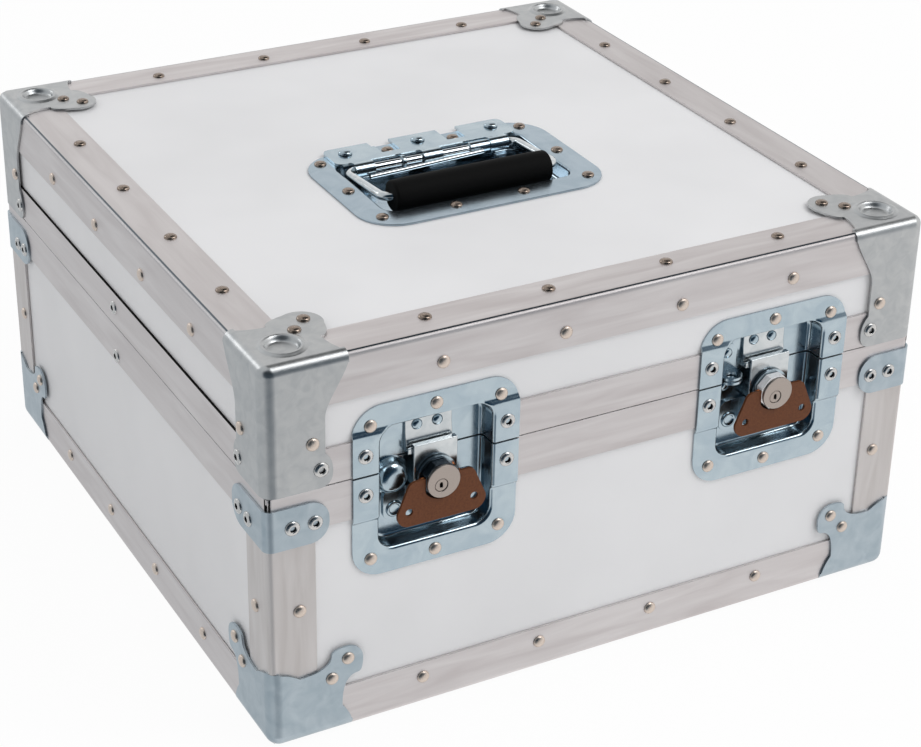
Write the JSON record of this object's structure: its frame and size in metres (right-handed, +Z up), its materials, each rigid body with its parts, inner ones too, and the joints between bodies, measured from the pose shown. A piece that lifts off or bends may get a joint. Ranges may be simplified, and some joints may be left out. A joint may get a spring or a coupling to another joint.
{
  "type": "lens case",
  "caption": "Square hard transit case with hinged lid, aluminium edging, pressed steel corners, recessed key-lock butterfly catches and a sunken spring-back handle.",
  "frame": {"origin": "bottom centre of the bounding box, on the surface that the case stands on", "axes": "+X along the front from left to right, +Y from the front with the catches to the back with the hinges, +Z up"},
  "size_m": [0.4288, 0.446, 0.2546],
  "materials": {
    "laminate": "white laminate on plywood",
    "aluminium": "satin extruded",
    "zinc": "bright blue zinc plate",
    "chrome": "bright plated",
    "lock_face": "satin nickel",
    "bronze_paint": "antique copper paint",
    "rubber": "matt black moulded",
    "foam": "charcoal open-cell foam"
  },
  "bodies": {
    "base": {"base_floor_panel": "laminate", "base_front_panel": "laminate", "base_back_panel": "laminate", "base_left_panel": "laminate", "base_right_panel": "laminate", "base_tongue_frame": "aluminium", "bottom_angle_front": "aluminium", "bottom_angle_back": "aluminium", "bottom_angle_left": "aluminium", "bottom_angle_right": "aluminium", "post_angle_front_left": "aluminium", "post_angle_front_right": "aluminium", "post_angle_back_left": "aluminium", "post_angle_back_right": "aluminium", "bottom_corner_front_left": "zinc", "bottom_corner_front_right": "zinc", "bottom_corner_back_left": "zinc", "bottom_corner_back_right": "zinc", "corner_brace_front_left": "zinc", "corner_brace_front_right": "zinc", "corner_brace_back_left": "zinc", "corner_brace_back_right": "zinc", "base_foam_pad": "foam", "hinge_left_base_leaf": "zinc", "hinge_right_base_leaf": "zinc", "latch_left_lower_dish": "zinc", "latch_right_lower_dish": "zinc"},
    "lid": {"lid_top_panel": "laminate", "lid_front_panel": "laminate", "lid_back_panel": "laminate", "lid_left_panel": "laminate", "lid_right_panel": "laminate", "lid_groove_frame": "aluminium", "top_angle_front": "aluminium", "top_angle_back": "aluminium", "top_angle_left": "aluminium", "top_angle_right": "aluminium", "lid_corner_front_left": "zinc", "lid_corner_front_right": "zinc", "lid_corner_back_left": "zinc", "lid_corner_back_right": "zinc", "lid_foam_pad": "foam", "hinge_left_lid_leaf": "zinc", "hinge_right_lid_leaf": "zinc", "latch_left_upper_dish": "zinc", "latch_right_upper_dish": "zinc", "latch_left_strike": "zinc", "latch_right_strike": "zinc", "handle_dish": "zinc", "handle_strap": "zinc"},
    "handle": {"handle_bail": "chrome", "handle_grip": "rubber"},
    "left_hook": {"latch_left_hook": "zinc"},
    "left_barrel": {"latch_left_barrel": "chrome"},
    "left_wing": {"latch_left_wing": "bronze_paint"},
    "left_key_plug": {"latch_left_key_plug": "lock_face"},
    "right_hook": {"latch_right_hook": "zinc"},
    "right_barrel": {"latch_right_barrel": "chrome"},
    "right_wing": {"latch_right_wing": "bronze_paint"},
    "right_key_plug": {"latch_right_key_plug": "lock_face"}
  },
  "joints": [
    {"name": "lid_hinge", "type": "hinge", "parent": "base", "child": "lid", "pos_m": [0, 0.21725, 0.1649], "axis": [-1, 0, 0], "range_deg": [0, 95]},
    {"name": "handle_hinge", "type": "hinge", "parent": "lid", "child": "handle", "pos_m": [0, -0.00025, 0.2397], "axis": [-1, 0, 0], "range_deg": [0, 90], "stiffness_Nm_per_rad": 0.15, "springref_deg": -17.19},
    {"name": "left_lock_turn", "type": "hinge", "parent": "base", "child": "left_barrel", "pos_m": [-0.1095, -0.21675, 0.1523], "axis": [0, -1, 0], "range_deg": [0, 180]},
    {"name": "left_hook_lift", "type": "slide", "parent": "base", "child": "left_hook", "axis": [0, 0, 1], "range_m": [0, 0.009]},
    {"name": "left_wing_flap", "type": "hinge", "parent": "left_barrel", "child": "left_wing", "pos_m": [-0.1095, -0.21915, 0.1523], "axis": [-1, 0, 0], "range_deg": [0, 90]},
    {"name": "left_key_turn", "type": "hinge", "parent": "left_barrel", "child": "left_key_plug", "pos_m": [-0.111, -0.21675, 0.1503], "axis": [0, -1, 0], "range_deg": [0, 90]},
    {"name": "right_lock_turn", "type": "hinge", "parent": "base", "child": "right_barrel", "pos_m": [0.1127, -0.21675, 0.1523], "axis": [0, -1, 0], "range_deg": [0, 180]},
    {"name": "right_hook_lift", "type": "slide", "parent": "base", "child": "right_hook", "axis": [0, 0, 1], "range_m": [0, 0.009]},
    {"name": "right_wing_flap", "type": "hinge", "parent": "right_barrel", "child": "right_wing", "pos_m": [0.1127, -0.21915, 0.1523], "axis": [-1, 0, 0], "range_deg": [0, 90]},
    {"name": "right_key_turn", "type": "hinge", "parent": "right_barrel", "child": "right_key_plug", "pos_m": [0.1112, -0.21675, 0.1503], "axis": [0, -1, 0], "range_deg": [0, 90]}
  ],
  "couplings": [
    {"joint": "left_hook_lift", "follows": "left_lock_turn", "m_per_rad": 0.002864},
    {"joint": "right_hook_lift", "follows": "right_lock_turn", "m_per_rad": 0.002864}
  ]
}
